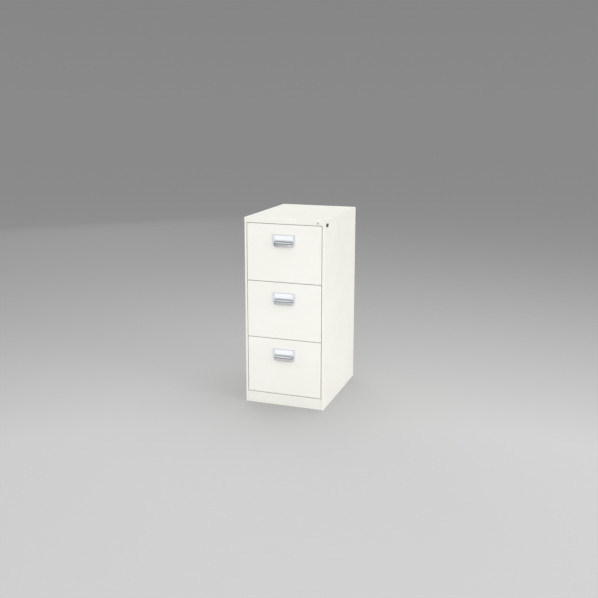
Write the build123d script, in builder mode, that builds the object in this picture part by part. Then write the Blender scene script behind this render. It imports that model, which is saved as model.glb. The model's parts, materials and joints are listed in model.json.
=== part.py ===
import math
import os

from build123d import *

# Three-drawer vertical filing cabinet in folded sheet steel.
# X runs to the viewer's right, Y towards the back and Z up.
# The origin lies on the floor, midway between the pulls' lips and the back.

# Driving dimensions of the case
case_width = 455.0
case_depth = 620.0
case_height = 1050.0
sheet = 1.0
bend_radius = 1.5
top_rail_height = 27.5
plinth_height = 63.0
stile_width = 12.0
front_gap = 3.0
levels = ["bottom", "middle", "top"]

# Driving dimensions of the drawers
front_box_depth = 20.0
pull_projection = 20.0
upright_depth = 15.0
slide_thickness = 13.0
slide_height = 45.0
slide_length = 550.0
slide_level = 120.0
slide_end_room = 6.0
drawer_travel = 520.0
tub_clearance_below = 12.0
tub_wall_height = 262.0

# Driving dimensions of the pull and its label holder
pull_width = 133.0
pull_drop = 54.5
holder_height = 39.0
label_margin = 5.5
pull_plate_height = 58.0
label_width = 108.0
label_height = 24.0

# Driving dimensions of the round plug in the rail
plug_inset = 35.0
plug_below_top = 14.5
plug_radius = 6.0
plug_head = 1.6
plug_stem = 5.0
plug_reach = 4.0

# Driving dimensions of the lock
lock_below_top = 30.0
lock_behind_front = 49.0
barrel_radius = 7.5
key_plug_radius = 5.5
crank_radius = 8.0
pin_radius = 2.0
bar_width = 16.0
bar_thickness = 2.0
hook_height = 12.0
hook_level = 241.5
catch_gap = 1.5

# Clearances
running_clearance = 0.05
slot_clearance = 0.4
guide_clearance = 0.3
seat_gap = 0.5

# Places worked out from the driving dimensions
half_width = case_width / 2
front_y = -(case_depth - pull_projection) / 2
back_y = front_y + case_depth
inner_x = half_width - sheet
top_inner_z = case_height - sheet
rail_z = case_height - top_rail_height
stile_inner_x = half_width - stile_width
opening_height = rail_z - plinth_height
panel_height = (opening_height - front_gap * (len(levels) + 1)) / len(levels)
panel_width = 2 * (stile_inner_x - front_gap)
drawer_pitch = panel_height + front_gap
slide_mount_x = inner_x - upright_depth
tub_half = slide_mount_x - slide_thickness
inner_front_y = front_y + front_box_depth
tub_front_y = inner_front_y + sheet
slide_front_y = tub_front_y + slide_end_room
slide_back_y = slide_front_y + slide_length
tub_back_y = slide_back_y + slide_end_room + sheet
pan_z = plinth_height - 2 * sheet
plug_x = half_width - plug_inset
plug_z = case_height - plug_below_top


def drawer_base(index):
    """Height of the lower edge of a drawer's front panel."""
    return plinth_height + front_gap + index * drawer_pitch


def folded_section(points, radius, thickness, side=Side.LEFT):
    """Section of a folded sheet whose outer skin follows the points."""
    with BuildSketch() as section:
        with BuildLine():
            FilletPolyline(*points, radius=radius)
            offset(amount=thickness, side=side)
        make_face()
    return section.sketch


def save(builder, label):
    """Label a finished piece and write it out."""
    builder.part.label = label
    export_step(builder.part, f"parts/{label}.step")


os.makedirs("parts", exist_ok=True)

# Side panels: outer skin, front stile with its return, rear fold and foot flange
foot_flange = 20.0
rear_fold = 16.0
stile_return = 15.0

lower_wrap = folded_section(
    [
        (stile_inner_x, front_y + stile_return),
        (stile_inner_x, front_y),
        (half_width, front_y),
        (half_width, back_y),
        (half_width - rear_fold, back_y),
    ],
    bend_radius,
    sheet,
)
upper_wrap = folded_section(
    [
        (half_width, front_y + sheet),
        (half_width, back_y),
        (half_width - rear_fold, back_y),
    ],
    bend_radius,
    sheet,
)
with BuildPart() as side_blank:
    with BuildSketch():
        add(lower_wrap)
    extrude(amount=rail_z)
    with BuildSketch(Plane.XY.offset(rail_z)):
        add(upper_wrap)
    extrude(amount=top_inner_z - rail_z)
    flange_front_y = front_y + stile_return
    flange_back_y = back_y - stile_return
    with Locations((inner_x + sheet / 2, flange_front_y, 0)):
        Box(
            foot_flange,
            flange_back_y - flange_front_y,
            sheet,
            align=(Align.MAX, Align.MIN, Align.MIN),
        )
    rail_corner = side_blank.edges().filter_by(Axis.X).group_by(Axis.Z)[-1]
    fillet(rail_corner.sort_by(Axis.Y)[0], bend_radius - sheet)

with BuildPart() as left_side_panel:
    mirror(side_blank.part, about=Plane.YZ)
save(left_side_panel, "left_side_panel")

lock_y = front_y + lock_behind_front
lock_z = case_height - lock_below_top
lock_plane = Plane.YZ.offset(half_width)

with BuildPart() as right_side_panel:
    add(side_blank.part)
    with BuildSketch(lock_plane):
        with Locations((lock_y, lock_z)):
            Circle(barrel_radius + running_clearance)
    extrude(amount=-2 * sheet, mode=Mode.SUBTRACT)
save(right_side_panel, "right_side_panel")

# Top panel: flat top with the full-width front rail folded down from it
rail_fold = folded_section(
    [(front_y, rail_z), (front_y, case_height), (back_y, case_height)],
    bend_radius,
    sheet,
    Side.RIGHT,
)
with BuildPart() as top_panel:
    with BuildSketch(Plane.YZ.offset(-half_width)):
        add(rail_fold)
    extrude(amount=case_width)
    with Locations((0, front_y + bend_radius / 2, rail_z)):
        Box(
            2 * inner_x - seat_gap,
            stile_return,
            sheet,
            align=(Align.CENTER, Align.MIN, Align.MIN),
        )
    with BuildSketch(Plane.XZ.offset(-front_y)):
        with Locations((plug_x, plug_z)):
            Rectangle(plug_stem + running_clearance, plug_stem + running_clearance)
    extrude(amount=-2 * sheet, mode=Mode.SUBTRACT)
save(top_panel, "top_panel")

# Bare round plug pressed into the right-hand end of the top rail
with BuildPart() as rail_plug:
    with BuildSketch(Plane.XZ.offset(-front_y)):
        with Locations((plug_x, plug_z)):
            Circle(plug_radius)
    extrude(amount=plug_head)
    with BuildSketch(Plane.XZ.offset(-front_y)):
        with Locations((plug_x, plug_z)):
            Rectangle(plug_stem, plug_stem)
    extrude(amount=-plug_reach)
save(rail_plug, "rail_plug")

# Back panel lapped inside the rear folds
back_panel_y = back_y - 2 * sheet
with BuildPart() as back_panel:
    with Locations((0, back_panel_y, sheet)):
        Box(
            2 * (inner_x - seat_gap),
            sheet,
            top_inner_z - sheet,
            align=(Align.CENTER, Align.MIN, Align.MIN),
        )
save(back_panel, "back_panel")

# Plinth between the stiles, folded back at the top and the foot
plinth_return = 25.0
plinth_section = folded_section(
    [
        (front_y + stile_return, 0),
        (front_y, 0),
        (front_y, plinth_height),
        (front_y + plinth_return, plinth_height),
    ],
    bend_radius,
    sheet,
    Side.RIGHT,
)
plinth_width = 2 * (stile_inner_x - seat_gap)
with BuildPart() as plinth:
    with BuildSketch(Plane.YZ.offset(-plinth_width / 2)):
        add(plinth_section)
    extrude(amount=plinth_width)
save(plinth, "plinth")

# Bottom pan under the lowest drawer, its edges turned down
pan_depth = back_panel_y - flange_front_y
pan_skirt = 12.0
with BuildPart() as bottom_pan:
    with Locations((0, flange_front_y, pan_z + sheet)):
        Box(
            2 * inner_x,
            pan_depth,
            pan_skirt,
            align=(Align.CENTER, Align.MIN, Align.MAX),
        )
    offset(amount=-sheet, openings=bottom_pan.faces().sort_by(Axis.Z)[0])
save(bottom_pan, "bottom_pan")

# Rear base rail, a channel from side to side below the pan
rail_channel_height = 30.0
rail_channel_depth = 22.0
channel_z = 16.0
rear_channel = folded_section(
    [
        (back_panel_y - rail_channel_depth, channel_z + rail_channel_height),
        (back_panel_y, channel_z + rail_channel_height),
        (back_panel_y, channel_z),
        (back_panel_y - rail_channel_depth, channel_z),
    ],
    bend_radius,
    sheet,
    Side.RIGHT,
)
with BuildPart() as rear_base_rail:
    with BuildSketch(Plane.YZ.offset(-inner_x)):
        add(rear_channel)
    extrude(amount=2 * inner_x)
save(rear_base_rail, "rear_base_rail")

# Uprights: channels on the side panels, with a window for each slide's hook
upright_width = 40.0
upright_setback = 63.0
upright_sheet = 1.5
upright_bevel = 1.8
hook_window_width = 14.0
hook_window_height = 10.0
front_upright_y = front_y + upright_setback
rear_upright_y = slide_back_y - upright_width + slide_end_room
for label, upright_y in [("front", front_upright_y), ("rear", rear_upright_y)]:
    upright_back_y = upright_y + upright_width
    channel = folded_section(
        [
            (inner_x, upright_y),
            (slide_mount_x + upright_bevel, upright_y),
            (slide_mount_x, upright_y + upright_bevel),
            (slide_mount_x, upright_back_y - upright_bevel),
            (slide_mount_x + upright_bevel, upright_back_y),
            (inner_x, upright_back_y),
        ],
        0,
        upright_sheet,
        Side.RIGHT,
    )
    with BuildPart() as uprights:
        with BuildSketch(Plane.XY.offset(pan_z + sheet)):
            add(channel)
        extrude(amount=top_inner_z - pan_z - sheet)
        windows = [
            (upright_y + upright_width / 2, drawer_base(index) + slide_level)
            for index in range(len(levels))
        ]
        with BuildSketch(Plane.YZ.offset(slide_mount_x)):
            with Locations(*windows):
                Rectangle(hook_window_width, hook_window_height)
        extrude(amount=2 * upright_sheet, mode=Mode.SUBTRACT)
        mirror(about=Plane.YZ)
    save(uprights, f"{label}_uprights")

# Levelling glides and the four brackets that take their screws
foot_inset = 36.0
foot_across = 24.0
foot_head = 6.0
foot_screw_radius = 4.0
foot_screw_top = 41.0
foot_rest_z = sheet
foot_x = half_width - foot_inset
bracket_sheet = 3.0
bracket_size = 40.0
bracket_top_z = 22.0
bracket_lip = 12.0
nut_across = 13.0
nut_height = 6.0
front_foot_y = flange_front_y + bracket_size / 2
rear_foot_y = back_panel_y - rail_channel_depth - bracket_size / 2 - sheet
foot_places = [
    ("front_left", -1, front_foot_y),
    ("front_right", 1, front_foot_y),
    ("rear_left", -1, rear_foot_y),
    ("rear_right", 1, rear_foot_y),
]
bracket_section = folded_section(
    [
        (inner_x - bracket_lip, sheet),
        (inner_x, sheet),
        (inner_x, bracket_top_z),
        (foot_x - bracket_size / 2, bracket_top_z),
    ],
    0,
    bracket_sheet,
)
with BuildPart() as foot_brackets:
    for bracket_y in (front_foot_y, rear_foot_y):
        with BuildSketch(Plane.XZ.offset(-bracket_y - bracket_size / 2)):
            add(bracket_section)
        extrude(amount=bracket_size)
        with BuildSketch(Plane.XY.offset(bracket_top_z)):
            with Locations((foot_x, bracket_y)):
                RegularPolygon(nut_across / 2, side_count=6, major_radius=False)
        extrude(amount=nut_height)
        with Locations((foot_x, bracket_y, bracket_top_z + nut_height)):
            Hole(foot_screw_radius + running_clearance, depth=bracket_top_z)
    mirror(about=Plane.YZ)
save(foot_brackets, "foot_brackets")

for label, side, foot_y in foot_places:
    with BuildPart() as foot:
        with BuildSketch(Plane.XY.offset(foot_rest_z)):
            with Locations((side * foot_x, foot_y)):
                RegularPolygon(foot_across / 2, side_count=6, major_radius=False)
        extrude(amount=foot_head)
        with BuildSketch(Plane.XY.offset(foot_rest_z + foot_head)):
            with Locations((side * foot_x, foot_y)):
                Circle(foot_screw_radius)
        extrude(amount=foot_screw_top - foot_rest_z - foot_head)
    save(foot, f"{label}_foot")

# Lock: oblong escutcheon, threaded barrel, nut and turning plug on the right side
escutcheon_length = 38.0
escutcheon_height = 18.0
escutcheon_thickness = 2.0
barrel_head_radius = 8.6
barrel_head_depth = 2.5
barrel_tail = 6.0
barrel_inner_x = inner_x - barrel_tail
nut_thickness = 4.0
lock_nut_across = 20.0
escutcheon_face_x = half_width + escutcheon_thickness
lock_face_x = escutcheon_face_x + barrel_head_depth

with BuildPart() as lock_escutcheon:
    with BuildSketch(lock_plane):
        with Locations((lock_y, lock_z)):
            SlotOverall(escutcheon_length, escutcheon_height)
            Circle(barrel_radius + running_clearance, mode=Mode.SUBTRACT)
    extrude(amount=escutcheon_thickness)
save(lock_escutcheon, "lock_escutcheon")

with BuildPart() as lock_barrel:
    with BuildSketch(Plane.YZ.offset(barrel_inner_x)):
        with Locations((lock_y, lock_z)):
            Circle(barrel_radius)
    extrude(amount=escutcheon_face_x - barrel_inner_x)
    with BuildSketch(Plane.YZ.offset(escutcheon_face_x)):
        with Locations((lock_y, lock_z)):
            Circle(barrel_head_radius)
    extrude(amount=barrel_head_depth)
    with BuildSketch(Plane.YZ.offset(barrel_inner_x)):
        with Locations((lock_y, lock_z)):
            Circle(key_plug_radius + running_clearance)
    extrude(amount=lock_face_x - barrel_inner_x, mode=Mode.SUBTRACT)
save(lock_barrel, "lock_barrel")

with BuildPart() as lock_nut:
    with BuildSketch(Plane.YZ.offset(inner_x - nut_thickness)):
        with Locations((lock_y, lock_z)):
            RegularPolygon(lock_nut_across / 2, side_count=6, major_radius=False)
            Circle(barrel_radius + running_clearance, mode=Mode.SUBTRACT)
    extrude(amount=nut_thickness)
save(lock_nut, "lock_nut")

keyway_width = 1.2
keyway_height = 7.0
keyway_depth = 5.0
cam_thickness = 2.0
cam_gap = 0.5
cam_boss = 8.0
crank_half_width = 4.0
cam_inner_x = barrel_inner_x - cam_gap - cam_thickness
tang_size = 6.0
with BuildPart() as lock_plug:
    with BuildSketch(Plane.YZ.offset(cam_inner_x + cam_thickness)):
        with Locations((lock_y, lock_z)):
            Circle(key_plug_radius)
    extrude(amount=lock_face_x - cam_inner_x - cam_thickness)
    with BuildSketch(Plane.YZ.offset(lock_face_x)):
        with Locations((lock_y, lock_z)):
            Rectangle(keyway_width, keyway_height)
    extrude(amount=-keyway_depth, mode=Mode.SUBTRACT)
    with BuildSketch(Plane.YZ.offset(cam_inner_x)):
        with Locations((lock_y, lock_z)):
            Rectangle(tang_size, tang_size)
    extrude(amount=cam_thickness)
save(lock_plug, "lock_plug")

# The crank pin starts 45 degrees below the level line on the side of the front
pin_y = lock_y - crank_radius * math.cos(math.radians(45))
pin_z = lock_z - crank_radius * math.sin(math.radians(45))
bar_clearance = 1.5
bar_outer_x = cam_inner_x - bar_clearance
bar_inner_x = bar_outer_x - bar_thickness
with BuildPart() as lock_cam:
    with BuildSketch(Plane.YZ.offset(cam_inner_x)):
        with Locations((lock_y, lock_z)):
            RegularPolygon(cam_boss, side_count=8)
        with Locations((pin_y, pin_z)):
            RegularPolygon(crank_half_width, side_count=8)
        make_hull()
        with Locations((lock_y, lock_z)):
            Rectangle(tang_size, tang_size, mode=Mode.SUBTRACT)
    extrude(amount=cam_thickness)
    with BuildSketch(Plane.YZ.offset(cam_inner_x)):
        with Locations((pin_y, pin_z)):
            Circle(pin_radius)
    extrude(amount=bar_inner_x - cam_inner_x - cam_gap)
save(lock_cam, "lock_cam")

# Lock bar: flat strip with a cross slot for the pin
pin_reach = (crank_radius - crank_radius * math.cos(math.radians(45))) / 2
bar_y = lock_y - crank_radius + pin_reach
bar_top_z = pin_z + bar_width / 2
guide_height = 12.0
guide_drop = 35.0
hook_reach = 8.0
hook_depth = 6.0
hook_slope = 4.0
hook_y = bar_y - bar_width / 2 + bar_thickness / 2
hook_places = [drawer_base(index) + hook_level for index in range(len(levels))]
guide_places = [hook_z - guide_drop for hook_z in hook_places]
bar_foot_z = guide_places[0] - guide_height
with BuildPart() as lock_bar:
    with BuildSketch(Plane.YZ.offset(bar_inner_x)):
        with Locations((bar_y, (bar_foot_z + bar_top_z) / 2)):
            Rectangle(bar_width, bar_top_z - bar_foot_z)
        with Locations((bar_y, pin_z)):
            SlotOverall(
                2 * (pin_reach + pin_radius + slot_clearance),
                2 * (pin_radius + slot_clearance),
                mode=Mode.SUBTRACT,
            )
    extrude(amount=bar_thickness)
save(lock_bar, "lock_bar")

# Hooks welded to the bar, one per drawer, sloped below to ride back over a catch
with BuildPart() as lock_hooks:
    for hook_z in hook_places:
        with BuildSketch(Plane.XZ.offset(-hook_y)):
            with BuildLine():
                Polyline(
                    (bar_inner_x, hook_z),
                    (bar_inner_x - hook_reach, hook_z + hook_slope),
                    (bar_inner_x - hook_reach, hook_z + hook_height),
                    (bar_inner_x, hook_z + hook_height),
                    close=True,
                )
            make_face()
        extrude(amount=-hook_depth)
save(lock_hooks, "lock_hooks")

# Three guides hold the bar to the side panel and the front upright
guide_wall = 5.0
guide_front_y = bar_y - bar_width / 2 - guide_wall
with BuildPart() as lock_bar_guides:
    for guide_z in guide_places:
        with Locations((slide_mount_x + seat_gap, guide_front_y, guide_z)):
            Box(
                inner_x - slide_mount_x - seat_gap,
                front_upright_y - guide_front_y,
                guide_height,
                align=(Align.MIN, Align.MIN, Align.MIN),
            )
        with Locations(((bar_inner_x + bar_outer_x) / 2, bar_y, guide_z)):
            Box(
                bar_thickness + 2 * guide_clearance,
                bar_width + 2 * guide_clearance,
                guide_height,
                align=(Align.CENTER, Align.CENTER, Align.MIN),
                mode=Mode.SUBTRACT,
            )
save(lock_bar_guides, "lock_bar_guides")

# Telescopic slides, drawn as distance out from the upright and height off the centre
slide_gauge = 1.2
race_gap = 4.3
cabinet_half = slide_height / 2
middle_half = cabinet_half - slide_gauge - race_gap
drawer_half = middle_half - slide_gauge - race_gap
cabinet_flange = 10.0
cabinet_lip = 3.2
middle_web = 2.3
middle_flange = 9.2
middle_lip = 2.6
drawer_flange = 5.0
bend_bevel = 1.4
cage_gauge = 0.5
cage_end_room = 5.0
cage_length = slide_length - drawer_travel / 2 - 2 * cage_end_room
cage_front_y = slide_front_y + drawer_travel / 4 + cage_end_room
cage_reach = 7.4
outer_cage_web = 1.5
inner_cage_web = 4.0
hook_strip = 8.0
hook_out = upright_sheet + slide_gauge + guide_clearance
hook_drop = 9.0


def member_section(web, edge, half, lip, gauge, bevel):
    """Section of a channel with bevelled bends whose lips, if any, turn inwards."""
    inward = math.copysign(1, edge - web)
    upper = [(edge, half)]
    if lip:
        upper = [
            (edge, half - lip),
            (edge, half - bevel),
            (edge - inward * bevel, half),
        ]
    if bevel:
        upper += [(web + inward * bevel, half), (web, half - bevel)]
    else:
        upper += [(web, half)]
    lower = [(out, -height) for out, height in reversed(upper)]
    return folded_section(
        upper + lower, 0, gauge, Side.LEFT if inward > 0 else Side.RIGHT
    )


def slide_pair(section, front_end, length, level_index, label, hooked=False):
    """Extrude one member on the right, with its hooks if it has any, and mirror it."""
    centre_z = drawer_base(level_index) + slide_level
    end_plane = Plane(
        origin=(slide_mount_x, front_end, centre_z), x_dir=(-1, 0, 0), z_dir=(0, 1, 0)
    )
    with BuildPart() as pair:
        with BuildSketch(end_plane):
            add(section)
        extrude(amount=length)
        if hooked:
            for upright_y in (front_upright_y, rear_upright_y):
                hook_end = Plane.XZ.offset(-upright_y - (upright_width + hook_strip) / 2)
                with BuildSketch(hook_end):
                    with BuildLine():
                        Polyline(
                            (slide_mount_x, centre_z + hook_strip / 2),
                            (slide_mount_x + hook_out, centre_z + hook_strip / 2),
                            (slide_mount_x + hook_out, centre_z - hook_drop),
                            (slide_mount_x + hook_out - slide_gauge, centre_z - hook_drop),
                            (slide_mount_x + hook_out - slide_gauge, centre_z),
                            (slide_mount_x, centre_z),
                            close=True,
                        )
                    make_face()
                extrude(amount=hook_strip)
        mirror(about=Plane.YZ)
    save(pair, label)


cabinet_section = member_section(
    0, cabinet_flange, cabinet_half, cabinet_lip, slide_gauge, bend_bevel
)
middle_section = member_section(
    middle_web, middle_flange, middle_half, middle_lip, slide_gauge, bend_bevel
)
drawer_section = member_section(
    slide_thickness, drawer_flange, drawer_half, 0, slide_gauge, bend_bevel
)
outer_cage_section = member_section(
    outer_cage_web, cage_reach, middle_half + (race_gap + cage_gauge) / 2, 0, cage_gauge, 0
)
inner_cage_section = member_section(
    inner_cage_web, cage_reach, drawer_half + (race_gap + cage_gauge) / 2, 0, cage_gauge, 0
)

for index, level in enumerate(levels):
    slide_pair(
        cabinet_section, slide_front_y, slide_length, index, f"{level}_cabinet_slides", True
    )
    slide_pair(middle_section, slide_front_y, slide_length, index, f"{level}_middle_slides")
    slide_pair(drawer_section, slide_front_y, slide_length, index, f"{level}_drawer_slides")
    slide_pair(
        outer_cage_section, cage_front_y, cage_length, index, f"{level}_outer_ball_cages"
    )
    slide_pair(
        inner_cage_section, cage_front_y, cage_length, index, f"{level}_inner_ball_cages"
    )

# Drawer fronts, tubs, pulls and follower plates
front_edge_radius = 1.8
back_lip = 10.0
closing_margin = 7.0
closing_return = 11.0
hem = 9.0
tub_radius = 2.5
catch_depth = 1.5
catch_height = 14.0
catch_reach = 11.0
catch_bevel = 3.0
catch_y = hook_y + hook_depth + 1.0
follower_slot = 8.0
follower_side_room = 3.0
follower_corner = 15.0
follower_width = 2 * (tub_half - hem - follower_side_room)
follower_height = 225.0
follower_sheet = 1.2
follower_foot = 24.0
follower_foot_width = 120.0
clamp_across = 18.0
clamp_height = 3.0
follower_back_room = 5.0
follower_y = tub_back_y - sheet - follower_foot - follower_back_room
follower_travel = 440.0
floor_gap = 0.3
plate_thickness = 1.2
holder_depth = 3.0
hood_wall = 2.0
hood_half = 64.0
hood_lip_half = 50.0
hood_top_drop = 8.0
hood_lip_drop = 11.5
plate_corner_radius = 3.0
hood_cheek_radius = 12.0
hood_brow_radius = 6.0
card_thickness = 0.8
card_gap = 0.2

lip_y = front_y - pull_projection


def hood_block(top_z, foot_z, wall):
    """Wedge of the pull's hood, drawn in by a wall at the roof, the lip and the cheeks."""
    open_y = front_y + wall
    roof_rise = wall * hood_top_drop / pull_projection
    cheek_spread = wall * (hood_half - hood_lip_half) / pull_projection
    with BuildPart() as block:
        with BuildSketch(Plane.YZ.offset(-hood_half)):
            with BuildLine():
                Polyline(
                    (open_y, foot_z - 2 * wall),
                    (open_y, top_z + roof_rise),
                    (lip_y, top_z - hood_top_drop),
                    (lip_y, foot_z - hood_lip_drop - 2 * wall),
                    close=True,
                )
            make_face()
            if wall:
                offset(amount=-wall)
        extrude(amount=2 * hood_half)
        with BuildSketch(Plane.XY.offset(foot_z - pull_plate_height)):
            with BuildLine():
                Polyline(
                    (-hood_half - cheek_spread, open_y),
                    (hood_half + cheek_spread, open_y),
                    (hood_lip_half, lip_y),
                    (-hood_lip_half, lip_y),
                    close=True,
                )
            make_face()
            if wall:
                offset(amount=-wall)
        extrude(amount=2 * pull_plate_height, mode=Mode.INTERSECT)
    return block.part


for index, level in enumerate(levels):
    base_z = drawer_base(index)
    tub_floor_z = base_z + tub_clearance_below
    inside_floor_z = tub_floor_z + sheet
    tub_top_z = tub_floor_z + tub_wall_height

    # Outer front: a shallow box of folded sheet, open at the back inside its lips
    with BuildPart() as front_panel:
        with Locations((0, front_y, base_z)):
            Box(
                panel_width,
                front_box_depth,
                panel_height,
                align=(Align.CENTER, Align.MIN, Align.MIN),
            )
        fillet(front_panel.faces().sort_by(Axis.Y)[0].edges(), front_edge_radius)
        with Locations((0, front_y + sheet, base_z + sheet)):
            Box(
                panel_width - 2 * sheet,
                front_box_depth - 2 * sheet,
                panel_height - 2 * sheet,
                align=(Align.CENTER, Align.MIN, Align.MIN),
                mode=Mode.SUBTRACT,
            )
        with Locations((0, inner_front_y, base_z + panel_height / 2)):
            Box(
                panel_width - 2 * back_lip,
                2 * sheet,
                panel_height - 2 * back_lip,
                mode=Mode.SUBTRACT,
            )
    save(front_panel, f"{level}_front_panel")

    # Inner front closes that box and stiffens it with two returns
    closing_height = panel_height - 2 * closing_margin
    closing_section = folded_section(
        [
            (tub_front_y + closing_return, base_z + closing_margin + closing_height),
            (inner_front_y, base_z + closing_margin + closing_height),
            (inner_front_y, base_z + closing_margin),
            (tub_front_y + closing_return, base_z + closing_margin),
        ],
        bend_radius,
        sheet,
    )
    closing_width = panel_width - 2 * closing_margin
    with BuildPart() as inner_front:
        with BuildSketch(Plane.YZ.offset(-closing_width / 2)):
            add(closing_section)
        extrude(amount=closing_width)
    save(inner_front, f"{level}_inner_front")

    # Tub: floor and walls folded from one sheet, hemmed inwards along the top
    tub_section = folded_section(
        [
            (-tub_half + hem, tub_top_z),
            (-tub_half, tub_top_z),
            (-tub_half, tub_floor_z),
            (tub_half, tub_floor_z),
            (tub_half, tub_top_z),
            (tub_half - hem, tub_top_z),
        ],
        tub_radius,
        sheet,
    )
    tub_length = tub_back_y - tub_front_y
    slot_front_y = follower_y + follower_foot / 2 - follower_travel - follower_slot
    slot_back_y = follower_y + follower_foot / 2 + follower_slot
    with BuildPart() as tub:
        with BuildSketch(Plane.XZ.offset(-tub_back_y)):
            add(tub_section)
        extrude(amount=tub_length)
        with Locations((0, tub_back_y, inside_floor_z - sheet / 2)):
            Box(
                2 * (tub_half - sheet / 2),
                sheet,
                tub_wall_height - 2 * sheet,
                align=(Align.CENTER, Align.MAX, Align.MIN),
            )
        with BuildSketch(Plane.XY.offset(tub_floor_z)):
            with Locations((0, (slot_front_y + slot_back_y) / 2)):
                Rectangle(follower_slot, slot_back_y - slot_front_y)
        extrude(amount=2 * sheet, mode=Mode.SUBTRACT)
    save(tub, f"{level}_tub")

    # Catch for the lock bar on the tub's right wall
    with BuildPart() as lock_catch:
        catch_z = base_z + hook_level + hook_height + catch_gap
        with BuildSketch(Plane.XZ.offset(-catch_y)) as catch_outline:
            with Locations((tub_half, catch_z)):
                Rectangle(catch_reach, catch_height, align=(Align.MIN, Align.MIN))
            chamfer(catch_outline.vertices().group_by(Axis.X)[-1], catch_bevel)
        extrude(amount=-catch_depth)
    save(lock_catch, f"{level}_lock_catch")

    # Pull: plate and label holder with a hooded lip, open below for the fingers
    plate_top_z = base_z + panel_height - pull_drop
    plate_foot_z = plate_top_z - pull_plate_height
    hood_top_z = plate_top_z - holder_height
    label_z = plate_top_z - label_margin - label_height / 2
    with BuildPart() as hood:
        add(hood_block(hood_top_z, plate_foot_z, 0))
        lip_edges = hood.edges().filter_by_position(Axis.Y, lip_y, lip_y)
        fillet(lip_edges.filter_by(Axis.Z), hood_cheek_radius)
        hood_roof = hood.faces().sort_by(Axis.Z)[-1]
        fillet(
            hood_roof.edges().filter_by_position(
                Axis.Y, lip_y, front_y, inclusive=(True, False)
            ),
            hood_brow_radius,
        )
        add(hood_block(hood_top_z, plate_foot_z, hood_wall), mode=Mode.SUBTRACT)
    with BuildPart() as handle:
        with BuildSketch(Plane.XZ.offset(-front_y)):
            with Locations((0, plate_top_z - pull_plate_height / 2)):
                Rectangle(pull_width, pull_plate_height)
        extrude(amount=plate_thickness)
        with BuildSketch(Plane.XZ.offset(-front_y)):
            with Locations((0, plate_top_z - holder_height / 2)):
                Rectangle(pull_width, holder_height)
        extrude(amount=holder_depth)
        holder_corners = handle.edges().filter_by(Axis.Y).group_by(Axis.Z)[-1]
        fillet(holder_corners, plate_corner_radius)
        with BuildSketch(Plane.XZ.offset(-front_y + plate_thickness)):
            with Locations((0, label_z)):
                Rectangle(label_width, label_height)
        extrude(amount=holder_depth, mode=Mode.SUBTRACT)
        add(hood.part)
    save(handle, f"{level}_handle")

    # Blank card in the label holder
    with BuildPart() as label_card:
        with BuildSketch(Plane.XZ.offset(-front_y + plate_thickness)):
            with Locations((0, label_z)):
                Rectangle(label_width - card_gap, label_height - card_gap)
        extrude(amount=card_thickness)
    save(label_card, f"{level}_label_card")

    # Follower plate that stands in the tub and slides along the floor slot
    with BuildPart() as follower_plate:
        with BuildSketch(Plane.XZ.offset(-follower_y)) as follower_outline:
            with Locations((0, inside_floor_z + floor_gap)):
                Rectangle(
                    follower_width, follower_height, align=(Align.CENTER, Align.MIN)
                )
            fillet(follower_outline.vertices().group_by(Axis.Y)[-1], follower_corner)
        extrude(amount=-follower_sheet)
        with Locations((0, follower_y, inside_floor_z + floor_gap)):
            Box(
                follower_foot_width,
                follower_foot,
                follower_sheet,
                align=(Align.CENTER, Align.MIN, Align.MIN),
            )
        clamp_y = follower_y + follower_foot / 2
        with BuildSketch(Plane.XY.offset(tub_floor_z - floor_gap - clamp_height)):
            with Locations((0, clamp_y)):
                RegularPolygon(clamp_across / 2, side_count=6, major_radius=False)
        extrude(amount=clamp_height)
        with BuildSketch(Plane.XY.offset(tub_floor_z - floor_gap)):
            with Locations((0, clamp_y)):
                Rectangle(follower_slot - 2 * slot_clearance, follower_slot)
        extrude(amount=sheet + 2 * floor_gap)
    save(follower_plate, f"{level}_follower_plate")
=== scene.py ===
import json
import math

import bpy
import numpy as np
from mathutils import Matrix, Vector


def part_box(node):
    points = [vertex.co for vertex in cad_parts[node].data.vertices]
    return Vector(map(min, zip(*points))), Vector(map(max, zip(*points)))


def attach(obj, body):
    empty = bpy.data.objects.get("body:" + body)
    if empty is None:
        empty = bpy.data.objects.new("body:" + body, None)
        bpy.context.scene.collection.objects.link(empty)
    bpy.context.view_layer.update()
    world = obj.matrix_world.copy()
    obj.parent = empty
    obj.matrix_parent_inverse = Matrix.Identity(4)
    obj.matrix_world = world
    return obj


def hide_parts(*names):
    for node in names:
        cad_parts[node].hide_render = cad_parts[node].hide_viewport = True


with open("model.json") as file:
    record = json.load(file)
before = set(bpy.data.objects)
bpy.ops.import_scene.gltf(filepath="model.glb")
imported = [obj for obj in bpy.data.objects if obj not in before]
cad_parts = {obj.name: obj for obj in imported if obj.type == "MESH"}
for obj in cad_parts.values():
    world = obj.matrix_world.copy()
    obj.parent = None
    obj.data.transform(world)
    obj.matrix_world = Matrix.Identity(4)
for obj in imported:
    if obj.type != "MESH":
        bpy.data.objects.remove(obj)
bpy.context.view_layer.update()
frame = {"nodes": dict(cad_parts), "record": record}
nodes = frame["nodes"]
slotOf = {part["node"]: part["material_slot"] for part in frame["record"]["subparts"]}
levels = ["bottom", "middle", "top"]
print("frame loaded:", len(nodes), "nodes")


# node helpers

def linear(red, green, blue):
    # a colour given in screen terms, 0 to 255, as the shader wants it
    def one(value):
        value = value / 255
        return value / 12.92 if value <= 0.04045 else ((value + 0.055) / 1.055) ** 2.4
    return (one(red), one(green), one(blue), 1.0)


def addNode(tree, kind, **values):
    # a new node with its menu settings
    node = tree.nodes.new("ShaderNode" + kind)
    for key, value in values.items():
        setattr(node, key, value)
    return node


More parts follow.
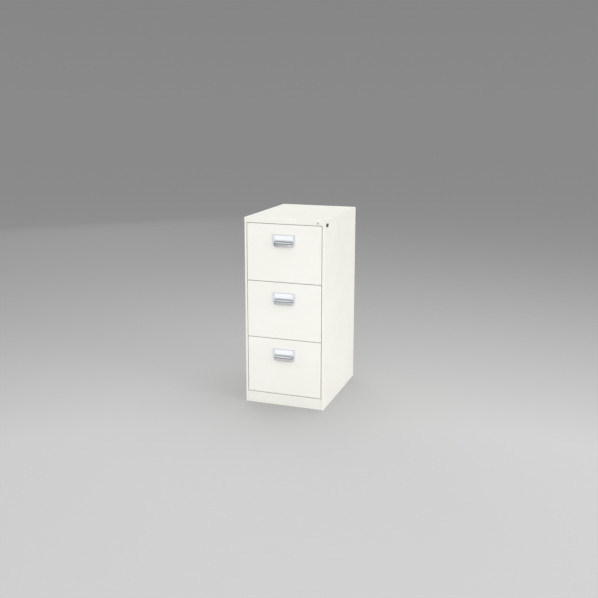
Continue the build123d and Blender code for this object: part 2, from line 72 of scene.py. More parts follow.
class Finish:
    # a new material with its shader, and short ways to add nodes to it
    def __init__(self, name, look):
        self.look = look
        self.material = bpy.data.materials.new(name)
        self.material.use_nodes = True
        self.tree = self.material.node_tree
        self.shader = next(n for n in self.tree.nodes if n.type == "BSDF_PRINCIPLED")
        self.place = self.add("TexCoord").outputs["Object"]
        self.normal = None
        self.shader.inputs["Base Color"].default_value = look["colour"]
        self.shader.inputs["Roughness"].default_value = look["roughness"]
        self.shader.inputs["Metallic"].default_value = look.get("metallic", 0.0)
        self.shader.inputs["Specular IOR Level"].default_value = look.get("specular", 0.5)

    def add(self, kind, **values):
        return addNode(self.tree, kind, **values)

    def link(self, start, end):
        self.tree.links.new(start, end)

    def noise(self, key, stretch=None):
        # the look names a noise by its scale, detail and roughness, and a stretch by its scale on each axis
        node = self.add("TexNoise")
        for socket, value in zip(("Scale", "Detail", "Roughness"), self.look[key]):
            node.inputs[socket].default_value = value
        vector = self.place
        if stretch:
            mapping = self.add("Mapping")
            mapping.inputs["Scale"].default_value = self.look[stretch]
            self.link(self.place, mapping.inputs["Vector"])
            vector = mapping.outputs["Vector"]
        self.link(vector, node.inputs["Vector"])
        return node.outputs["Fac"]

    def cells(self, key):
        node = self.add("TexVoronoi")
        node.inputs["Scale"].default_value = self.look[key]
        self.link(self.place, node.inputs["Vector"])
        return node.outputs["Color"]

    def ranged(self, value, low, high, fromLow=0.0, fromHigh=1.0):
        node = self.add("MapRange")
        node.inputs["From Min"].default_value = fromLow
        node.inputs["From Max"].default_value = fromHigh
        node.inputs["To Min"].default_value = low
        node.inputs["To Max"].default_value = high
        self.link(value, node.inputs["Value"])
        return node.outputs["Result"]

    def maths(self, operation, first, second=0.0):
        node = self.add("Math", operation=operation)
        self.link(first, node.inputs[0])
        node.inputs[1].default_value = second
        return node.outputs[0]

    def mottled(self, value, other):
        # while the value climbs from start to end, the colour gives way to the other by most at the most
        start, end, most = self.look["mix"]
        node = self.add("Mix", data_type="RGBA")
        node.inputs[6].default_value = self.look["colour"]
        node.inputs[7].default_value = self.look[other]
        self.link(self.ranged(value, 0.0, most, start, end), node.inputs["Factor"])
        self.link(node.outputs[2], self.shader.inputs["Base Color"])

    def glossed(self, value):
        # the roughness runs with the value, from so much below its own figure to so much above it
        below, above = self.look["glossSpread"]
        rough = self.ranged(value, self.look["roughness"] - below, self.look["roughness"] + above)
        self.link(rough, self.shader.inputs["Roughness"])

    def bump(self, value, key):
        # the look names a bump by its strength and its depth in metres; each one starts from the one before
        strength, depth = self.look[key]
        node = self.add("Bump")
        node.inputs["Strength"].default_value = strength
        node.inputs["Distance"].default_value = depth
        self.link(value, node.inputs["Height"])
        if self.normal is not None:
            self.link(self.normal, node.inputs["Normal"])
        self.normal = node.outputs["Normal"]
        self.link(self.normal, self.shader.inputs["Normal"])


# paint

casePaint = {
    "colour": linear(238, 237, 230), "worn": linear(229, 227, 218), "mix": (0.3, 0.75, 0.6),
    "roughness": 0.42, "glossSpread": (0.06, 0.06),
    "clouds": (2.6, 4.0, 0.6), "gloss": (15.6, 3.0, 0.5),
    "waves": (7.0, 1.0, 0.5), "waveBump": (0.12, 0.0006),
    "peel": (520.0, 2.0, 0.5), "peelBump": (0.35, 0.00006),
}
frontPaint = dict(casePaint, colour=linear(240, 239, 233), worn=linear(232, 230, 222))
insidePaint = dict(casePaint, colour=linear(226, 225, 217), worn=linear(214, 212, 203), roughness=0.5)


def makePaint(name, look):
    # baked powder paint: faint clouds of tone, the slow waves of rolled sheet, and orange peel
    finish = Finish(name, look)
    finish.mottled(finish.noise("clouds"), "worn")
    finish.glossed(finish.noise("gloss"))
    finish.bump(finish.noise("waves"), "waveBump")
    finish.bump(finish.noise("peel"), "peelBump")
    return finish.material


# zinc plate

zincSteel = {
    "colour": linear(186, 188, 186), "bright": linear(206, 207, 204), "mix": (0.0, 1.0, 1.0),
    "metallic": 1.0, "roughness": 0.34, "glossSpread": (0.1, 0.1), "flakeScale": 70.0,
    "lines": (900.0, 2.0, 0.6), "stretch": (1.0, 0.01, 1.0), "lineBump": (0.2, 0.00004),
}


def makeZinc(name, look):
    # zinc plate on drawn strip: small crystal flakes, and fine lines along the strip's length
    finish = Finish(name, look)
    finish.mottled(finish.cells("flakeScale"), "bright")
    lines = finish.noise("lines", "stretch")
    finish.glossed(lines)
    finish.bump(lines, "lineBump")
    return finish.material


# bright metals: the pulls' chrome, the label frames, the lock's nickel and the balls

pullChrome = {
    "colour": linear(237, 239, 241), "shade": linear(225, 228, 231), "mix": (0.35, 0.8, 0.5),
    "metallic": 1.0, "roughness": 0.17, "glossSpread": (0.05, 0.05), "haze": (60.0, 3.0, 0.5),
    "grain": (1400.0, 2.0, 0.6), "stretch": (0.02, 1.0, 1.0), "grainBump": (0.1, 0.00002),
}
bezelSatin = {
    "colour": linear(224, 227, 230), "shade": linear(214, 218, 222), "mix": (0.35, 0.8, 0.6),
    "metallic": 0.15, "roughness": 0.36, "glossSpread": (0.07, 0.07), "haze": (45.0, 3.0, 0.5),
    "grain": (1100.0, 3.0, 0.6), "stretch": (0.05, 1.0, 1.0), "grainBump": (0.15, 0.00002),
}
lockMetal = {
    "colour": linear(204, 200, 190), "shade": linear(182, 178, 168), "mix": (0.35, 0.8, 0.7),
    "metallic": 1.0, "roughness": 0.24, "glossSpread": (0.06, 0.1), "haze": (120.0, 3.0, 0.5),
    "grain": (2200.0, 1.0, 0.5), "stretch": (1.0, 0.05, 0.05), "grainBump": (0.08, 0.00002),
}
ballSteel = dict(lockMetal, colour=linear(214, 215, 216), shade=linear(196, 198, 200), roughness=0.16)


def makeBright(name, look):
    # polished or blasted metal: a faint haze of tone, and a fine grain drawn out the way it was worked
    finish = Finish(name, look)
    finish.mottled(finish.noise("haze"), "shade")
    grain = finish.noise("grain", "stretch")
    finish.glossed(grain)
    finish.bump(grain, "grainBump")
    return finish.material


# card of the labels

blankCard = {
    "colour": linear(245, 248, 252), "fibre": linear(237, 241, 248), "mix": (0.4, 0.75, 1.0),
    "roughness": 0.62, "fibres": (800.0, 4.0, 0.7), "stretch": (0.25, 1.0, 1.0), "fibreBump": (0.3, 0.00003),
}


def makeCard(name, look):
    # smooth paper with short fibres lying along the card
    finish = Finish(name, look)
    fibres = finish.noise("fibres", "stretch")
    finish.mottled(fibres, "fibre")
    finish.bump(fibres, "fibreBump")
    return finish.material


# plastics

lockDark = {
    "colour": linear(74, 74, 70), "dust": linear(98, 97, 90), "mix": (0.45, 0.8, 0.8),
    "roughness": 0.48, "glossSpread": (0.06, 0.08), "dusting": (38.0, 5.0, 0.65),
    "grain": (1500.0, 2.0, 0.5), "grainBump": (0.3, 0.00005),
}
footPlastic = dict(lockDark, colour=linear(38, 38, 40), dust=linear(66, 65, 64), roughness=0.55,
                   grain=(900.0, 2.0, 0.5))
plugPlastic = dict(lockDark, colour=linear(196, 196, 190), dust=linear(186, 185, 178), roughness=0.4,
                   grain=(1200.0, 2.0, 0.5))
guideNylon = dict(lockDark, colour=linear(222, 220, 208), dust=linear(206, 202, 186), roughness=0.46,
                  grain=(700.0, 2.0, 0.5))


def makePlastic(name, look):
    # moulded plastic: fine spark-eroded grain, dust lying in the hollows of a slower noise
    finish = Finish(name, look)
    finish.mottled(finish.noise("dusting"), "dust")
    grain = finish.noise("grain")
    finish.glossed(grain)
    finish.bump(grain, "grainBump")
    return finish.material


finishes = {
    "case_paint": makePaint("casePaint", casePaint),
    "front_paint": makePaint("frontPaint", frontPaint),
    "inside_paint": makePaint("insidePaint", insidePaint),
    "zinc_steel": makeZinc("zincSteel", zincSteel),
    "pull_chrome": makeBright("pullChrome", pullChrome),
    "blank_card": makeCard("blankCard", blankCard),
    "lock_dark": makePlastic("lockDark", lockDark),
    "lock_metal": makeBright("lockMetal", lockMetal),
    "guide_nylon": makePlastic("guideNylon", guideNylon),
    "foot_plastic": makePlastic("footPlastic", footPlastic),
    "plug_plastic": makePlastic("plugPlastic", plugPlastic),
}
frameFinish = makeBright("bezelSatin", bezelSatin)
ballFinish = makeBright("ballSteel", ballSteel)
for name, node in nodes.items():
    node.data.materials.clear()
    node.data.materials.append(finishes[slotOf[name]])
print("finishes on", len(nodes), "nodes:", len(finishes))


# new pieces: a shape is an array of points and a list of arrays of corner numbers

def gridFaces(rows, columns, closeRows, closeColumns):
    # the four corners of every cell of a grid of points; if closed, the last row or column joins the first
    row = np.arange(rows if closeRows else rows - 1)[:, None]
    column = np.arange(columns if closeColumns else columns - 1)[None, :]
    nextRow, nextColumn = (row + 1) % rows, (column + 1) % columns
    corners = [row * columns + column, row * columns + nextColumn,
               nextRow * columns + nextColumn, nextRow * columns + column]
    return np.stack(np.broadcast_arrays(*corners), -1).reshape(-1, 4)


def poleFaces(rings, sides):
    # triangles from the first and the last ring to two poles, the points that follow all the rings
    around = np.arange(sides)
    after = (around + 1) % sides
    last = (rings - 1) * sides
    first = np.stack([after, around, np.full(sides, rings * sides)], -1)
    final = np.stack([last + around, last + after, np.full(sides, rings * sides + 1)], -1)
    return np.concatenate([first, final])


def circled(radius, height, sides):
    # x is the radius times the cosine and y times the sine of equal angles round Z; the height stays
    angle = np.linspace(0, 2 * np.pi, sides, endpoint=False)
    x, y = radius[:, None] * np.cos(angle), radius[:, None] * np.sin(angle)
    return np.stack([x, y, np.broadcast_to(height[:, None], x.shape)], -1)


def turned(profile, sides):
    # a profile of radius and height carried round the Z axis; its two ends on the axis are the poles
    radius, height = np.array(profile, float).T
    rings = circled(radius[1:-1], height[1:-1], sides)
    points = np.concatenate([rings.reshape(-1, 3), [[0, 0, height[0]], [0, 0, height[-1]]]])
    return points, [gridFaces(len(rings), sides, False, True), poleFaces(len(rings), sides)]


def repeated(shape, places):
    # the same shape set down at every place: its points shifted, its corner numbers moved on
    points, faces = shape
    places = np.array(places, float).reshape(-1, 1, 3)
    shifts = (np.arange(len(places)) * len(points)).reshape(-1, 1, 1)
    copies = [(group[None] + shifts).reshape(-1, group.shape[1]) for group in faces]
    return (points[None] + places).reshape(-1, 3), copies


def laidAlong(shape, axis, backwards=False):
    # the Z axis of a shape laid along X or Y by moving its coordinates round in a ring; backwards turns it
    # half round Z after that
    points, faces = shape
    points = np.roll(points, {"x": 1, "y": -1}[axis], axis=-1)
    return (points * (-1, -1, 1) if backwards else points), faces


def volumeOf(points, faces):
    # six times the volume: the sum over all triangles of the triple product of their corners
    total = 0.0
    for group in faces:
        for step in range(1, group.shape[1] - 1):
            a, b, c = points[group[:, 0]], points[group[:, step]], points[group[:, step + 1]]
            total += np.einsum("ij,ij->", a, np.cross(b, c))
    return total


def outward(shape):
    # the same shape with its faces turned outward: a negative volume means they look inward
    points, faces = shape
    return points, [group[:, ::-1] for group in faces] if volumeOf(points, faces) < 0 else faces


def joined(*shapes):
    # several shapes as one, each turned outward: its corner numbers follow on from the points before it
    shapes = [outward(shape) for shape in shapes]
    offsets = np.cumsum([0] + [len(points) for points, _ in shapes])
    faces = [f + offset for (_, group), offset in zip(shapes, offsets) for f in group]
    return np.concatenate([points for points, _ in shapes]), faces


def makePiece(name, shape, body, slotName, finish=None, crease=60.0):
    # smooth but for edges sharper than the crease, in degrees
    points, faces = outward(shape)
    mesh = bpy.data.meshes.new(name)
    mesh.from_pydata(points.tolist(), [], [corner for group in faces for corner in group.tolist()])
    mesh.polygons.foreach_set("use_smooth", np.ones(len(mesh.polygons), bool))
    mesh.set_sharp_from_angle(angle=math.radians(crease))
    mesh.materials.append(finish or finishes[slotName])
    piece = bpy.data.objects.new(name, mesh)
    bpy.context.scene.collection.objects.link(piece)
    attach(piece, body)
    return piece


# pull: label frame, plate and hood. Heights are measured down from the plate's top

pull = {
    "frameHalf": 0.0663, "frameHeight": 0.0342, "frameCorner": 0.0028, "footCorner": 0.0012,
    "windowHalf": 0.0515, "windowTop": 0.0052, "windowHeight": 0.0245, "windowCorner": 0.001,
    "flatFront": 0.0023, "bead": 0.002, "beadHeight": 0.0009, "beadSteps": 9, "cornerSteps": 8,
    "plateHalf": 0.066, "plateFront": 0.0015, "plateTop": 0.0012, "plateFoot": 0.0605, "plateCorner": 0.007,
    "hoodHalf": 0.057, "hoodTop": 0.0384, "hoodFoot": 0.0636, "reach": 0.0178, "roofDrop": 0.0082,
    "flange": 0.0036, "flangeSheet": 0.0007, "brow": 0.0045, "cheekTop": 0.005, "bow": 3.2,
    "sheet": 0.0012, "arcDrop": 0.5, "hem": 0.0009,
    "straightSteps": 6, "browSteps": 9, "acrossSteps": 61, "hemSides": 12,
}


def roundedLoop(half, low, high, lowRadius, highRadius, steps):
    # four quarter arcs of the corners in turn; the straight sides are what joins them
    angle = np.linspace(0, np.pi / 2, steps + 1)
    corners = [(1, low, lowRadius, -np.pi / 2, 1), (1, high, highRadius, 0, -1),
               (-1, high, highRadius, np.pi / 2, -1), (-1, low, lowRadius, np.pi, 1)]
    arcs = [np.stack([side * (half - radius) + radius * np.cos(start + angle),
                      edge + inward * radius + radius * np.sin(start + angle)], -1)
            for side, edge, radius, start, inward in corners]
    return np.concatenate(arcs)


def frameShape(top, face):
    # across the band from the window to the rim: a half-round bead, a flat, a half-round bead, whose height
    # is the sine of the share of its width. Carried round the loop and closed behind on the drawer's front
    window = top - pull["windowTop"]
    inner = roundedLoop(pull["windowHalf"], window - pull["windowHeight"], window,
                        pull["windowCorner"], pull["windowCorner"], pull["cornerSteps"])
    outer = roundedLoop(pull["frameHalf"], top - pull["frameHeight"], top,
                        pull["footCorner"], pull["frameCorner"], pull["cornerSteps"])
    width = np.linalg.norm(outer - inner, axis=-1, keepdims=True)
    along = (outer - inner) / width
    share = np.linspace(0, 1, pull["beadSteps"])
    bead = share * pull["bead"]
    across = np.concatenate([[0], bead, bead - pull["bead"], [0]])
    fromRim = np.arange(len(across)) > pull["beadSteps"]
    swell = pull["flatFront"] + pull["beadHeight"] * np.sin(np.pi * share)
    height = np.concatenate([[0], swell, swell, [0]])
    distance = across + np.where(fromRim, width, 0)
    plane = inner[:, None] + along[:, None] * distance[..., None]
    depth = np.broadcast_to(face - height, distance.shape)
    points = np.stack([plane[..., 0], depth, plane[..., 1]], -1)
    return points.reshape(-1, 3), [gridFaces(len(inner), len(across), True, True)]


def plateShape(top, face):
    # a flat sheet with a rounded outline, closed front and back by its own outline
    outline = roundedLoop(pull["plateHalf"], top - pull["plateFoot"], top - pull["plateTop"],
                          pull["plateCorner"], pull["footCorner"], pull["cornerSteps"])
    count = len(outline)
    layers = [np.stack([outline[:, 0], np.full(count, face - reach), outline[:, 1]], -1)
              for reach in (0, pull["plateFront"])]
    around = np.arange(count)
    faces = [gridFaces(2, count, False, True), around[None, ::-1], around[None] + count]
    return np.concatenate(layers), faces


def hoodProfile(inset):
    # depth and height down the middle: a flat flange, a straight roof, an arc tangent to roof and lip,
    # and a straight lip. The inner surface is the same profile, an inset further in, with its arc lower by
    # a share of the inset
    reach, brow = pull["reach"] - inset, pull["brow"] - inset
    steep = math.pi / 2 - math.atan2(pull["roofDrop"], pull["reach"])
    turn = np.linspace(steep, 0, pull["browSteps"])
    arcOut = reach - brow + brow * np.cos(turn)
    arcTop = pull["roofDrop"] + brow * math.tan(steep / 2) + inset * pull["arcDrop"]
    arcZ = brow * np.sin(turn) - arcTop
    share = np.linspace(0, 1, pull["straightSteps"])
    root = pull["flangeSheet"] - inset
    roofOut = root + (arcOut[0] - root) * share[:-1]
    roofZ = (arcZ[0] + inset) * share[:-1] - inset
    foot = pull["hoodTop"] - pull["hoodFoot"]
    lipZ = arcZ[-1] + (foot - arcZ[-1]) * share[1:]
    out = np.concatenate([[root, root], roofOut, arcOut, np.full(len(lipZ), reach)])
    return out, np.concatenate([[pull["flange"], pull["flange"] / 2], roofZ, arcZ, lipZ])


def bowed(half, depth, steps):
    # a superellipse from cheek to cheek: half times the cosine and depth times the sine, both of them to
    # the power 2 / bow
    angle = np.linspace(0, np.pi, steps)
    cosine, sine = np.cos(angle), np.clip(np.sin(angle), 0, 1)
    x = half * np.sign(cosine) * np.abs(cosine) ** (2 / pull["bow"])
    return x, depth * sine ** (2 / pull["bow"])


def hoodShape(top, face):
    # each level of the profile is a superellipse; the cheeks close in at the top by a quarter circle.
    # The outer surface and the inner one, a sheet further in, are one loop, closed at both cheeks
    layers = []
    for inset in (0.0, pull["sheet"]):
        out, z = hoodProfile(inset)
        fall = np.clip(1 + (z + inset) / pull["cheekTop"], 0, 1)
        half = pull["hoodHalf"] - inset - pull["cheekTop"] * (1 - np.sqrt(1 - fall ** 2))
        x, depth = bowed(half[:, None], out[:, None] + inset, pull["acrossSteps"])
        y = face - pull["plateFront"] - depth + inset
        height = np.broadcast_to(top - pull["hoodTop"] + z[:, None], x.shape)
        layers.append(np.stack([x, y, height], -1))
    rows, columns = layers[0].shape[:2]
    points = np.concatenate([layers[0], layers[1][::-1]]).reshape(-1, 3)
    row = np.arange(rows - 1)
    other = 2 * rows - 1 - row
    cheek = np.stack([row, row + 1, other - 1, other], -1) * columns
    cheeks = np.concatenate([cheek, cheek[:, ::-1] + columns - 1])
    return points, [gridFaces(2 * rows, columns, True, False), cheeks]


def tubeAlong(path, radius, sides):
    # circles square to a level path, whose sideways direction is the path's own turned a quarter; its two
    # ends are the poles
    step = np.gradient(path, axis=0)
    step /= np.linalg.norm(step, axis=-1, keepdims=True)
    sideways = np.stack([-step[:, 1], step[:, 0], np.zeros(len(path))], -1)
    angle = np.linspace(0, 2 * np.pi, sides, endpoint=False)[:, None]
    upward = np.array([0, 0, 1.0])
    rings = path[:, None] + radius * (np.cos(angle) * sideways[:, None] + np.sin(angle) * upward)
    points = np.concatenate([rings.reshape(-1, 3), path[:1], path[-1:]])
    return points, [gridFaces(len(path), sides, False, True), poleFaces(len(path), sides)]


def hemShape(top, face):
    # the rolled foot of the hood: a tube along the middle of its sheet
    inset = pull["sheet"] / 2
    x, depth = bowed(pull["hoodHalf"] - inset, pull["reach"] - inset, pull["acrossSteps"])
    path = np.stack([x, face - pull["plateFront"] - depth, np.full(len(x), top - pull["hoodFoot"])], -1)
    return tubeAlong(path, pull["hem"], pull["hemSides"])


for level in levels:
    low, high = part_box(f"{level}_handle")
    hood = joined(hoodShape(high.z, high.y), hemShape(high.z, high.y))
    piece = makePiece(f"{level}Hood", hood, f"{level}_drawer", "pull_chrome", crease=40.0)
    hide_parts(f"{level}_handle")
    plate = joined(frameShape(high.z, high.y), plateShape(high.z, high.y))
    makePiece(f"{level}LabelFrame", plate, f"{level}_drawer", "pull_chrome", frameFinish, crease=50.0)
print("pulls ready")


# balls of the slides

balls = {
    "radius": 0.0021, "rings": 5, "sides": 8, "spacing": 0.0165, "endRoom": 0.008, "mountX": 0.2115,
    "outerReach": 0.0052, "outerHeight": 0.01915, "innerReach": 0.0062, "innerHeight": 0.01365,
}


def ballRows(level, ring):
    # a ball is a half circle turned about its axis; the rows lie along the cage, high and low at each side
    arc = np.linspace(0, np.pi, balls["rings"] + 1)
    profile = np.stack([balls["radius"] * np.sin(arc), -balls["radius"] * np.cos(arc)], -1)
    low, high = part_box(f"{level}_{ring}_ball_cages")
    count = int((high.y - low.y - 2 * balls["endRoom"]) / balls["spacing"]) + 1
    x = balls["mountX"] - balls[f"{ring}Reach"]
    y = (low.y + high.y) / 2 + (np.arange(count) - (count - 1) / 2) * balls["spacing"]
    z = (low.z + high.z) / 2 + balls[f"{ring}Height"] * np.array([-1, 1])
    places = np.stack(np.meshgrid([-x, x], y, z, indexing="ij"), -1)
    return repeated(turned(profile, balls["sides"]), places)


for level in levels:
    for ring in ["outer", "inner"]:
        makePiece(f"{level}{ring.capitalize()}Balls", ballRows(level, ring), f"{level}_{ring}_cages",
                  "zinc_steel", ballFinish)
print("balls ready")


# rivets that hold the drawer members to the tubs

rivets = {
    "radius": 0.0036, "height": 0.0013, "fall": 0.85, "seat": 0.0004, "steps": 6, "sides": 20,
    "places": [-0.235, -0.09, 0.09, 0.235], "aboveTubFoot": 0.108, "wall": 0.001,
}


def domeShape(look):
    # a low dome: its height falls with the square root of one less a share of the radius squared, down to a
    # short skirt
    share = np.linspace(0, 1, look["steps"])
    profile = np.stack([look["radius"] * share, look["height"] * np.sqrt(1 - look["fall"] * share ** 2)], -1)
    foot = [[look["radius"], -look["seat"]], [0, -look["seat"]]]
    return turned(np.concatenate([profile, foot]), look["sides"])


for level in levels:
    low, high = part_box(f"{level}_tub")
    z = low.z + rivets["aboveTubFoot"]
    inside = high.x - rivets["wall"]
    right = repeated(laidAlong(domeShape(rivets), "x", True), [(inside, y, z) for y in rivets["places"]])
    left = repeated(laidAlong(domeShape(rivets), "x"), [(-inside, y, z) for y in rivets["places"]])
    makePiece(f"{level}SlideRivets", joined(right, left), f"{level}_drawer", "zinc_steel")
print("rivets ready")


# rolled edges of the tubs and ribs of the follower plates

hemBead = {
    "radius": 0.0014, "flat": 1.0, "rings": 4, "sides": 12, "endRoom": 0.004, "inFromWall": 0.009,
    "below": 0.0009,
}
followerRib = {
    "radius": 0.0045, "flat": 0.45, "rings": 5, "sides": 16, "halfLength": 0.15, "heights": [0.07, 0.17],
}


def rodShape(look, halfLength):
    # a straight rod with ball ends: quarter circles joined by its length, turned about Z, flattened along X
    arc = np.linspace(0, np.pi / 2, look["rings"])
    out, rise = look["radius"] * np.sin(arc), look["radius"] * np.cos(arc)
    lower = np.stack([out, -halfLength + look["radius"] - rise], -1)
    points, faces = turned(np.concatenate([lower, (lower * (1, -1))[::-1]]), look["sides"])
    return points * (look["flat"], 1, 1), faces


for level in levels:
    low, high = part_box(f"{level}_tub")
    edge = high.x - hemBead["inFromWall"]
    half = (high.y - low.y) / 2 - hemBead["endRoom"]
    places = [(x, (low.y + high.y) / 2, high.z - hemBead["below"]) for x in (-edge, edge)]
    beads = repeated(laidAlong(rodShape(hemBead, half), "y"), places)
    makePiece(f"{level}TubHems", beads, f"{level}_drawer", "inside_paint")
    low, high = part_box(f"{level}_follower_plate")
    places = [(0, low.y, low.z + height) for height in followerRib["heights"]]
    ribs = repeated(laidAlong(rodShape(followerRib, followerRib["halfLength"]), "x"), places)
    makePiece(f"{level}FollowerRibs", ribs, f"{level}_follower", "inside_paint")
print("tub edges and follower ribs ready")


# cap of the rail plug, barrel of the lock

plugCap = {"radius": 0.0058, "height": 0.0011, "fall": 0.85, "seat": 0.0003, "steps": 6, "sides": 40}
lockBarrel = {
    "bore": 0.0057, "thread": 0.0075, "threadDepth": 0.0003, "threadPitch": 0.001, "threadSteps": 6,
    "head": 0.0086, "headDepth": 0.0025, "rim": 0.0012, "rimHeight": 0.0006, "rimSteps": 9, "sides": 48,
}


def barrelShape(look, length):
    # round the axis: a thread of rings whose depth is a raised cosine of the length, a head, a rim whose
    # height is the sine of the share of its width, and the bore; the profile closes on its own start
    shank = length - look["headDepth"]
    rings = int(shank / look["threadPitch"])
    threadZ = np.linspace(0, shank, rings * look["threadSteps"] + 1)
    cut = 0.5 + 0.5 * np.cos(2 * np.pi * rings * threadZ / shank)
    thread = look["thread"] - look["threadDepth"] * cut
    share = np.linspace(0, 1, look["rimSteps"])
    face = length - look["rimHeight"]
    rim = face + look["rimHeight"] * np.sin(np.pi * share)
    radius = np.concatenate([[look["bore"]], thread, [look["head"]], look["head"] - look["rim"] * share,
                             [look["bore"]]])
    height = np.concatenate([[0], threadZ, [shank], rim, [face]])
    points = circled(radius, height, look["sides"])
    return points.reshape(-1, 3), [gridFaces(len(radius), look["sides"], True, True)]


low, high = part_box("rail_plug")
centre = (low + high) / 2
cap = repeated(laidAlong(domeShape(plugCap), "y", True), [(centre.x, low.y, centre.z)])
makePiece("railPlugCap", cap, "case", "plug_plastic")
low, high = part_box("lock_barrel")
centre = (low + high) / 2
barrel = repeated(laidAlong(barrelShape(lockBarrel, high.x - low.x), "x"), [(low.x, centre.y, centre.z)])
piece = makePiece("lockBarrel", barrel, "case", slotOf["lock_barrel"], crease=40.0)
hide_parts("lock_barrel")
print("rail plug and lock barrel ready")


# floor: a flat square. Away from the pool of light its shading gives way to the background's own tone: the
# share of that tone is one less e to the minus (distance - start) / length

floorTone = {
    "size": 90.0, "colour": linear(187, 187, 187), "roughness": 0.9, "specular": 0.1,
    "far": linear(138, 138, 138), "poolCentre": (1.4, -4.2, 0.0), "fadeStart": 3.9, "fadeLength": 3.2,
}


def makeFloor():
    half = floorTone["size"] / 2
    mesh = bpy.data.meshes.new("floor")
    mesh.from_pydata([(-half, -half, 0), (half, -half, 0), (half, half, 0), (-half, half, 0)], [],
                     [(0, 1, 2, 3)])
    floor = bpy.data.objects.new("floor", mesh)
    bpy.context.scene.collection.objects.link(floor)
    finish = Finish("floorTone", floorTone)
    away = finish.add("VectorMath", operation="DISTANCE")
    away.inputs[1].default_value = floorTone["poolCentre"]
    finish.link(finish.place, away.inputs[0])
    past = finish.maths("MAXIMUM", finish.maths("SUBTRACT", away.outputs["Value"], floorTone["fadeStart"]))
    kept = finish.maths("EXPONENT", finish.maths("MULTIPLY", past, -1 / floorTone["fadeLength"]))
    glow = finish.add("Emission")
    glow.inputs["Color"].default_value = floorTone["far"]
    mixed = finish.add("MixShader")
    output = next(n for n in finish.tree.nodes if n.type == "OUTPUT_MATERIAL")
    finish.link(finish.ranged(kept, 1.0, 0.0), mixed.inputs["Fac"])
    finish.link(finish.shader.outputs["BSDF"], mixed.inputs[1])
    finish.link(glow.outputs["Emission"], mixed.inputs[2])
    finish.link(mixed.outputs["Shader"], output.inputs["Surface"])
    mesh.materials.append(finish.material)


# sky: soft light from all round, and the background's tone where the camera, a gloss or glass looks past
# the floor. That tone runs from the horizon to the upper sky over the climb

sky = {
    "light": (1.0, 1.0, 1.0, 1.0), "strength": 0.9,
    "horizon": linear(138, 138, 138), "upper": linear(128, 128, 128), "climb": 0.3,
}


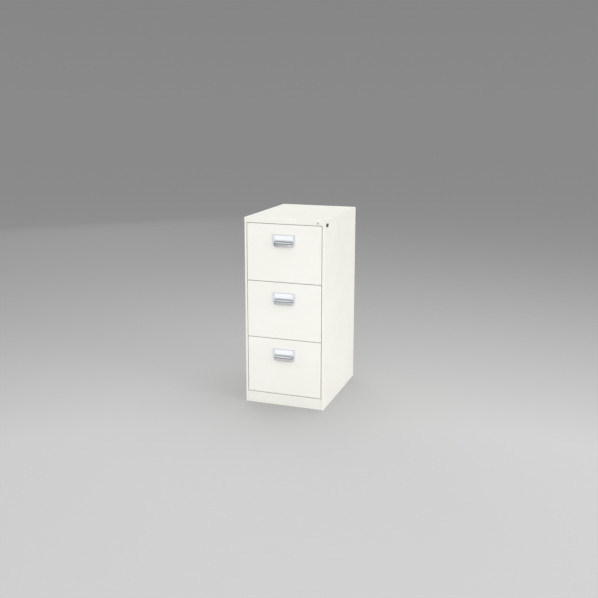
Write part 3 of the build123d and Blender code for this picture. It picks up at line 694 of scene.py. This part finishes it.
def makeSky():
    world = bpy.data.worlds.new("sky")
    bpy.context.scene.world = world
    world.use_nodes = True
    tree = world.node_tree
    tree.nodes.clear()
    soft = addNode(tree, "Background")
    soft.inputs["Color"].default_value = sky["light"]
    soft.inputs["Strength"].default_value = sky["strength"]
    seen = addNode(tree, "Background")
    direction = addNode(tree, "TexCoord")
    split = addNode(tree, "SeparateXYZ")
    climb = addNode(tree, "MapRange")
    climb.inputs["From Max"].default_value = sky["climb"]
    tone = addNode(tree, "Mix", data_type="RGBA")
    tone.inputs[6].default_value = sky["horizon"]
    tone.inputs[7].default_value = sky["upper"]
    rays = addNode(tree, "LightPath")
    cameraOrGloss = addNode(tree, "Math", operation="MAXIMUM")
    anySeen = addNode(tree, "Math", operation="MAXIMUM")
    mixed = addNode(tree, "MixShader")
    output = addNode(tree, "OutputWorld")
    for start, end in [
        (direction.outputs["Generated"], split.inputs[0]),
        (split.outputs["Z"], climb.inputs["Value"]),
        (climb.outputs["Result"], tone.inputs["Factor"]),
        (tone.outputs[2], seen.inputs["Color"]),
        (rays.outputs["Is Camera Ray"], cameraOrGloss.inputs[0]),
        (rays.outputs["Is Glossy Ray"], cameraOrGloss.inputs[1]),
        (cameraOrGloss.outputs[0], anySeen.inputs[0]),
        (rays.outputs["Is Transmission Ray"], anySeen.inputs[1]),
        (anySeen.outputs[0], mixed.inputs["Fac"]),
        (soft.outputs[0], mixed.inputs[1]),
        (seen.outputs[0], mixed.inputs[2]),
        (mixed.outputs[0], output.inputs["Surface"]),
    ]:
        tree.links.new(start, end)


# lamps: square softboxes, in metres and watts

lamps = {
    "key": {"at": (0.6, -7.0, 1.3), "aim": (0.0, 0.0, 0.5), "size": 2.6, "power": 120.0},
    "side": {"at": (6.8, -2.0, 1.6), "aim": (0.0, 0.0, 0.5), "size": 3.0, "power": 198.0},
    "top": {"at": (0.4, 1.5, 5.4), "aim": (0.0, 0.0, 1.0), "size": 4.0, "power": 90.0},
    "rim": {"at": (-4.5, 5.0, 2.4), "aim": (0.0, 0.0, 0.6), "size": 4.0, "power": 90.0},
}


def makeLamps():
    for name, lamp in lamps.items():
        data = bpy.data.lights.new(name, "AREA")
        data.shape = "SQUARE"
        data.size = lamp["size"]
        data.energy = lamp["power"]
        light = bpy.data.objects.new(name, data)
        bpy.context.scene.collection.objects.link(light)
        light.visible_glossy = False  # a lamp mirrored in paint or chrome would clip to white
        x, y, z = np.array(lamp["aim"]) - np.array(lamp["at"])
        light.location = lamp["at"]
        light.rotation_euler = (math.pi / 2 + math.atan2(z, math.hypot(x, y)), 0.0, math.atan2(-x, y))


# camera: metres and radians; focal length and shifts in pixels of the photograph's 598

camera = {
    "at": (1.46570, -4.28424, 1.64996), "yaw": -0.3400, "pitch": 0.2026,
    "focal": 803.95, "frame": 598.0, "shiftX": 5.30, "shiftY": -30.0, "sensor": 36.0, "clipEnd": 100.0,
}


def makeCamera():
    data = bpy.data.cameras.new("camera")
    data.sensor_width = camera["sensor"]
    data.lens = camera["focal"] / camera["frame"] * data.sensor_width
    data.shift_x = camera["shiftX"] / camera["frame"]
    data.shift_y = camera["shiftY"] / camera["frame"]
    data.clip_end = camera["clipEnd"]
    viewer = bpy.data.objects.new("camera", data)
    bpy.context.scene.collection.objects.link(viewer)
    viewer.location = camera["at"]
    viewer.rotation_euler = (math.pi / 2 - camera["pitch"], 0.0, -camera["yaw"])
    bpy.context.scene.camera = viewer


makeFloor()
makeSky()
makeLamps()
makeCamera()
bpy.context.scene.view_settings.view_transform = "Standard"
print("stage ready")
